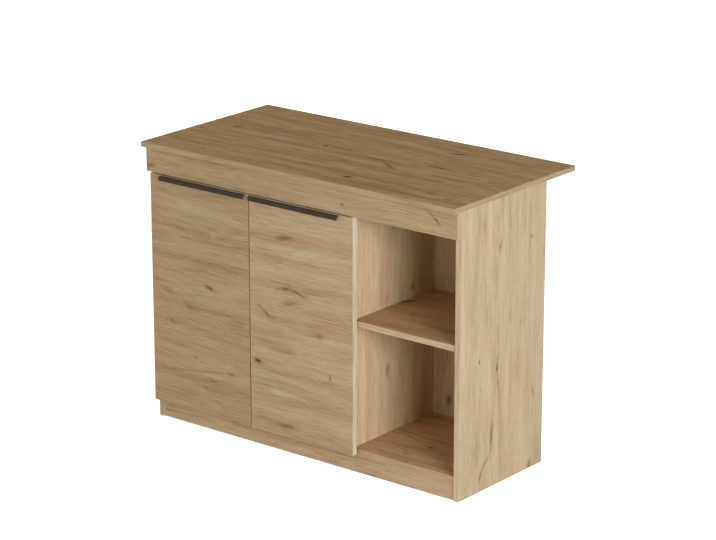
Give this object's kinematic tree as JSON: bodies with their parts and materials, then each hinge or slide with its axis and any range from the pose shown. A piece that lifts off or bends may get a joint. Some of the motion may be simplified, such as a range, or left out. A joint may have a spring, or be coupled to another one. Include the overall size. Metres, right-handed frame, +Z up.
{
  "type": "kitchen bar cabinet",
  "caption": "Free-standing kitchen bar cabinet in light oak board: a cupboard with swinging doors under an apron, an open shelf bay beside it and a worktop that overhangs the back as a bar.",
  "frame": {"origin": "on the floor under the middle of the worktop's outline", "axes": "+X along the worktop to the right as seen from the doors, +Y from the doors to the bar side, +Z up"},
  "size_m": [1.2, 0.6, 0.9],
  "materials": {
    "oak_worktop": "oak-look melamine board, satin",
    "oak_front": "oak-look melamine board, grain along the length, satin",
    "oak_upright": "oak-look melamine board, upright grain, satin",
    "dark_handle": "dark anodised, fine matt",
    "zinc_steel": "zinc plated steel",
    "zinc_die_cast": "cast zinc alloy",
    "nylon": "natural nylon",
    "clear_bumper": "soft translucent",
    "ferrite": "bare ferrite",
    "beech": "fluted beech, unfinished"
  },
  "bodies": {
    "carcass": {"worktop": "oak_worktop", "front_apron": "oak_front", "left_side_panel": "oak_upright", "right_side_panel": "oak_upright", "partition": "oak_upright", "bottom_panel": "oak_front", "back_panel": "oak_upright", "front_plinth": "oak_front", "rear_plinth": "oak_front", "plinth_support": "oak_front", "cupboard_front_rail": "oak_front", "cupboard_rear_rail": "oak_front", "bay_front_rail": "oak_front", "bay_rear_rail": "oak_front", "bay_shelf": "oak_front", "cupboard_shelf": "oak_front", "shelf_pins": "zinc_steel", "left_upper_hinge_plate": "zinc_steel", "left_lower_hinge_plate": "zinc_steel", "right_upper_hinge_plate": "zinc_steel", "right_lower_hinge_plate": "zinc_steel", "hinge_pins": "zinc_steel", "hinge_plate_screws": "zinc_steel", "magnet_catches": "nylon", "catch_magnets": "ferrite", "catch_screws": "zinc_steel", "cam_locks": "zinc_die_cast", "cam_bolts": "zinc_steel", "dowels": "beech", "corner_braces": "zinc_steel", "brace_screws": "zinc_steel", "worktop_screws": "zinc_steel", "back_screws": "zinc_steel", "floor_glides": "nylon"},
    "left_leaf": {"left_door": "oak_front", "left_handle": "dark_handle", "left_handle_screws": "zinc_steel", "left_door_bushes": "nylon", "left_strike_plate": "zinc_steel", "left_strike_screw": "zinc_steel", "left_door_bumpers": "clear_bumper"},
    "right_leaf": {"right_door": "oak_front", "right_handle": "dark_handle", "right_handle_screws": "zinc_steel", "right_door_bushes": "nylon", "right_strike_plate": "zinc_steel", "right_strike_screw": "zinc_steel", "right_door_bumpers": "clear_bumper"}
  },
  "joints": [
    {"name": "left_door_hinge", "type": "hinge", "parent": "carcass", "child": "left_leaf", "pos_m": [-0.571, -0.2755, 0.431], "axis": [0, 0, -1], "range_deg": [0, 105]},
    {"name": "right_door_hinge", "type": "hinge", "parent": "carcass", "child": "right_leaf", "pos_m": [0.215, -0.2755, 0.431], "axis": [0, 0, 1], "range_deg": [0, 105]}
  ]
}
